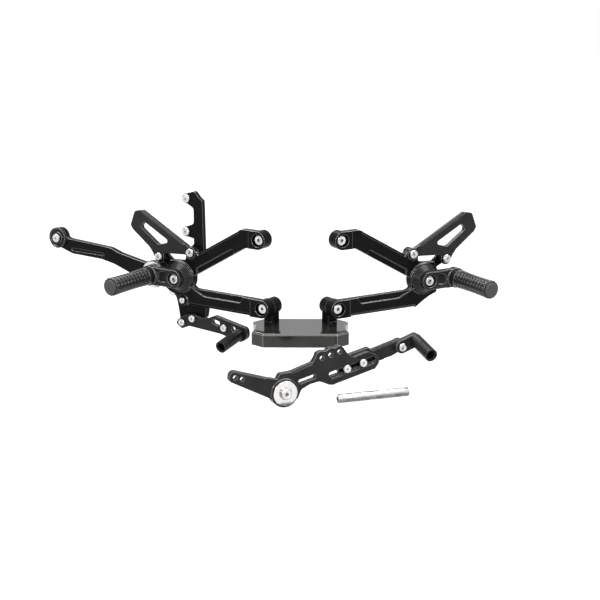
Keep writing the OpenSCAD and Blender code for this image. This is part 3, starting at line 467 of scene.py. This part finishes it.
class StageSettings(bpy.types.PropertyGroup):
    """Camera, lamps and sky"""
    distance: bpy.props.FloatProperty(
        name="Camera distance", description="From the middle of the picture", default=2.5, unit="LENGTH")
    elevation: bpy.props.FloatProperty(
        name="Elevation", description="Camera angle above the table", default=math.radians(14.28),
        subtype="ANGLE")
    azimuth: bpy.props.FloatProperty(
        name="Azimuth", description="Camera angle round the set", default=math.radians(0.48), subtype="ANGLE")
    aim_z: bpy.props.FloatProperty(
        name="Aim height", description="Height of the middle of the picture", default=83.4 * MM, unit="LENGTH")
    lamp_power: bpy.props.FloatProperty(
        name="Lamps", description="Power of the top lamp, which the others follow", default=14.0, unit="POWER")
    sky: bpy.props.FloatProperty(
        name="Sky", description="Strength of the even light round the set", default=0.55)


# Filled by the finishes' operator and used by those after it
MATERIALS = {}


class REARSET_OT_finishes(bpy.types.Operator):
    """Give every solid of the frame its finish"""
    bl_idname = "rearset.finishes"
    bl_label = "Finish the solids"

    BY_SLOT = {"black_anodised": "anodised", "black_grip": "grip", "gloss_black": "block",
               "white_plastic": "riser", "cap_grey": "cap", "bright_steel": "steel",
               "polished_steel": "polished"}
    SATIN = ("heel_guard_brake_side", "heel_guard_shift_side", "peg_holder_brake_side",
             "peg_holder_shift_side", "brake_toe_plate", "shift_lever", "shift_slider", "shift_tip")

    def execute(self, context):
        c = context.scene.rearset_finish
        tone, edge, bright = tuple(c.anodised), tuple(c.edge), tuple(c.steel)
        # each edge colour below is partly worn bare metal and partly a painted highlight
        MATERIALS.update(
            anodised=anodised("black_anodised_aluminium", tone, edge, c.roughness, level=0.035),
            satin=anodised("satin_black_aluminium", scaled(tone, 2.7), edge, 0.28, level=0.11),
            tube=anodised("black_ribbed_tube", scaled(tone, 1.6), scaled(edge, 0.25), 0.3, level=0.1,
                          round_edge=0.0003),
            grip=anodised("black_knurled_aluminium", scaled(tone, 2.0), scaled(edge, 0.8), 0.24, level=0.2,
                          round_edge=0.0005),
            block=anodised("polished_black_block", tuple(c.block), scaled(edge, 3.6), 0.09, level=0.36,
                           round_edge=0.0014, least_wear_and_highlight=0.95),
            steel=steel("bright_screw_steel", bright, 0.24, shade=True),
            polished=steel("polished_rod_steel", bright, 0.2, painted_shade_height=0.0115),
            cap=plastic("matt_end_cap", tuple(c.cap), 0.5, level=0.2),
            riser=plastic("pale_riser", tuple(c.riser), 0.6, level=0.3))
        slots = {s["node"]: s["material_slot"] for s in frame["record"]["subparts"]}
        for name, obj in frame["nodes"].items():
            if name in self.SATIN:
                kind = "satin"
            elif "toe_tube" in name:
                kind = "tube"
            else:
                kind = self.BY_SLOT[slots[name]]
            if not obj.material_slots:
                obj.data.materials.append(MATERIALS[kind])
            for slot in obj.material_slots:
                slot.material = MATERIALS[kind]
        return {"FINISHED"}


class REARSET_OT_grips(bpy.types.Operator):
    """Turn and knurl the two foot peg grips"""
    bl_idname = "rearset.grips"
    bl_label = "Knurled grips"

    def execute(self, context):
        for side in ("brake", "shift"):
            place("knurled_grip_" + side, knurled_grip(context.scene.rearset_grip),
                  side_matrix(side) @ Matrix.Translation((*PEG_AXIS, PEG_COLLAR_FACE)),
                  MATERIALS["grip"], BODY_SET, "peg_grip_%s_side" % side, smooth_angle=25.0)
        return {"FINISHED"}


class REARSET_OT_screws(bpy.types.Operator):
    """Make the screws with their flat heads, hexagon sockets and threads"""
    bl_idname = "rearset.screws"
    bl_label = "Screws"

    # node, where, body, screw, head's direction out of the face, and each screw's place, seat and length
    TABLE = [
        ("mount_bolts", "both", BODY_SET, M8, 1, [((0, 0), -7.5, 21), (MOUNT_TOP, -7.5, 21)]),
        ("heel_guard_bolts", "both", BODY_SET, M6, 1, [(GUARD_IN, -1, 13), (GUARD_OUT, -1, 13)]),
        ("holder_bolt", "both", BODY_SET, M8, 1, [(PEG_BOLT, 12, 21)]),
        ("peg_stud", "brake", BODY_SET, M8, -1, [(PEG_AXIS, -23.6, 59.6)]),
        ("peg_stud", "shift", BODY_SET, M8, -1, [(PEG_AXIS, 10, 26)]),
        ("rear_arm_bolt", "brake_only", BODY_BRAKE, M6, 1, [((337.5, 56), 12.9, 11.5)]),
        ("toe_plate_bolts", "brake_only", BODY_BRAKE, M5, 1,
         [((136, -39), -8, 13), ((118.5, -31.5), -8, 13), ((65.5, -36.5), -8, 7)]),
        ("brake_toe_bolt", "brake_only", BODY_BRAKE, M5, -1, [((40.5, -41), -14, 13)]),
        ("spring_post", "brake_only", BODY_SET, M5_NARROW, 1, [((128, -5.6), 0, 9)]),
        ("cylinder_bolts", "brake_only", BODY_SET, M6, 1, [((127.8, 86.6), -10, 8), ((127, 131.6), -10, 8)]),
        ("cylinder_bracket_screws", "brake_only", BODY_SET, M5, -1,
         [((106.5, 47), -16, 11.4), ((119, 32), -16, 11.4)]),
        ("shift_pivot_bolt", "lever", BODY_PIVOT, M8, 1, [((0, 0), 12.2, 30)]),
        ("shift_slider_bolts", "lever", BODY_SET, M5, 1,
         [(slot_point(-7.7, 1.5), 8, 15), (slot_point(14.6, 1.5), 8, 15)]),
        ("shift_tip_bolt", "lever", BODY_SET, M6_NARROW, 1, [(TIP_PIVOT, 9.2, 16.2)]),
        ("shift_toe_bolt", "lever", BODY_TIP, M5_NARROW, -1, [(TOE_BOLT, 0.2, 16)]),
    ]

    def execute(self, context):
        for node, where, body, size, out, screws in self.TABLE:
            way = Matrix.Identity(4) if out > 0 else Matrix.Rotation(math.pi, 4, "X")
            for matrix, name, solid in self.copies(node, where):
                group = bmesh.new()
                group.verts.layers.float.new("shade")
                for at, seat, length in screws:
                    screw = button_screw(size, length)
                    screw.transform(Matrix.Translation((*at, seat)) @ way)
                    spare = bpy.data.meshes.new("spare")
                    screw.to_mesh(spare)
                    screw.free()
                    group.from_mesh(spare)
                    bpy.data.meshes.remove(spare)
                place(name, group, matrix, MATERIALS["steel"], body, solid)
        return {"FINISHED"}

    def copies(self, node, where):
        """Axes, piece name and solid of each copy of a group of screws."""
        if where == "lever":
            return [(lever_matrix(), node + "_steel", node)]
        if where == "brake_only":
            return [(side_matrix("brake"), node + "_steel", node)]
        sides = ("brake", "shift") if where == "both" else (where,)
        return [(side_matrix(side), "%s_%s" % (node, side), "%s_%s_side" % (node, side)) for side in sides]


class REARSET_OT_stage(bpy.types.Operator):
    """Set the floor, lamps, sky and camera"""
    bl_idname = "rearset.stage"
    bl_label = "Stage"

    # name, place, width and power against the top lamp's
    LAMPS = [
        ("top", (0.0, -0.35, 1.5), 1.0, 1.0),
        ("rim", (-0.3, 0.9, 1.1), 0.5, 0.6),
        ("over_left", (-0.9, 0.0, 1.4), 1.15, 2.9),
        ("front_left", (-0.62, -1.4, 0.6), 0.4, 0.9),
        ("over_right", (0.9, 0.0, 1.4), 1.15, 2.9),
        ("front_right", (0.62, -1.4, 0.6), 0.4, 0.9),
    ]
    LAMP_AIM = Vector((0.0, -0.05, 0.08))

    def execute(self, context):
        stage = context.scene.rearset_stage
        self.floor()
        self.world(stage.sky)
        for name, at, width, share in self.LAMPS:
            self.lamp(name, Vector(at), width, share * stage.lamp_power)
        self.camera(stage)
        context.scene.view_settings.view_transform = "Standard"
        return {"FINISHED"}

    def floor(self):
        bm = bmesh.new()
        bmesh.ops.create_grid(bm, x_segments=2, y_segments=2, size=14.0)
        mesh = bpy.data.meshes.new("floor")
        bm.to_mesh(mesh)
        bm.free()
        obj = link_object("floor", mesh)
        s = Shader("pale_floor")
        s.bsdf.inputs["Base Color"].default_value = (0.9, 0.9, 0.9, 1)
        s.bsdf.inputs["Roughness"].default_value = 0.9
        s.bsdf.inputs["Specular IOR Level"].default_value = 0.0
        # mostly plain white where it is seen, and the rest takes the shadow
        glow = s.node("ShaderNodeEmission")
        glow.inputs["Strength"].default_value = 1.08
        white_share = s.calc("MULTIPLY", s.seen(), 0.86)
        out = next(n for n in s.tree.nodes if n.type == "OUTPUT_MATERIAL")
        s.blend(white_share, s.bsdf.outputs[0], glow.outputs[0], out.inputs["Surface"])
        mesh.materials.append(s.mat)

    def world(self, sky_strength):
        world = bpy.data.worlds.new("studio")
        bpy.context.scene.world = world
        world.use_nodes = True
        world.node_tree.nodes.clear()
        sky = Nodes(world.node_tree)
        light, white = sky.node("ShaderNodeBackground"), sky.node("ShaderNodeBackground")
        for background, strength in ((light, sky_strength), (white, 1.0)):
            background.inputs["Color"].default_value = (1, 1, 1, 1)
            background.inputs["Strength"].default_value = strength
        out = sky.node("ShaderNodeOutputWorld")
        sky.blend(sky.seen(), light.outputs[0], white.outputs[0], out.inputs["Surface"])

    def lamp(self, name, at, width, power):
        data = bpy.data.lights.new(name, "AREA")
        data.shape = "DISK"
        data.size = width
        data.energy = power
        obj = link_object(name, data)
        obj.location = at
        obj.rotation_euler = (self.LAMP_AIM - at).to_track_quat("-Z", "Y").to_euler()

    def camera(self, stage):
        data = bpy.data.cameras.new("camera")
        data.sensor_width = SENSOR_WIDTH
        data.lens = SENSOR_WIDTH * stage.distance / PICTURE_WIDTH
        data.clip_end = 60.0
        cam = link_object("camera", data)
        turn, level = stage.azimuth, math.cos(stage.elevation)
        back = Vector((math.sin(turn) * level, -math.cos(turn) * level, math.sin(stage.elevation)))
        cam.location = Vector((PICTURE_X, 0.0, stage.aim_z)) + back * stage.distance
        cam.rotation_euler = (-back).to_track_quat("-Z", "Y").to_euler()
        bpy.context.scene.camera = cam


class REARSET_PT_panel(bpy.types.Panel):
    """Settings and steps of the rear set footrests"""
    bl_label = "Rear set footrests"
    bl_idname = "REARSET_PT_panel"
    bl_space_type = "VIEW_3D"
    bl_region_type = "UI"
    bl_category = "Rear Sets"

    def draw(self, context):
        for group in GROUPS:
            box = self.layout.box()
            for key in GROUPS[group].__annotations__:
                box.prop(getattr(context.scene, group), key)
        for op in OPERATORS:
            self.layout.operator(op.bl_idname)


GROUPS = {"rearset_finish": FinishColours, "rearset_grip": GripSizes, "rearset_stage": StageSettings}
OPERATORS = (REARSET_OT_finishes, REARSET_OT_grips, REARSET_OT_screws, REARSET_OT_stage)
CLASSES = (*GROUPS.values(), *OPERATORS, REARSET_PT_panel)


def register():
    for c in CLASSES:
        bpy.utils.register_class(c)
    for key, group in GROUPS.items():
        setattr(bpy.types.Scene, key, bpy.props.PointerProperty(type=group))


def unregister():
    for key in GROUPS:
        delattr(bpy.types.Scene, key)
    for c in reversed(CLASSES):
        bpy.utils.unregister_class(c)


def main():
    register()
    bpy.ops.rearset.finishes()
    bpy.ops.rearset.grips()
    bpy.ops.rearset.screws()
    bpy.ops.rearset.stage()


if __name__ == "__main__":
    main()
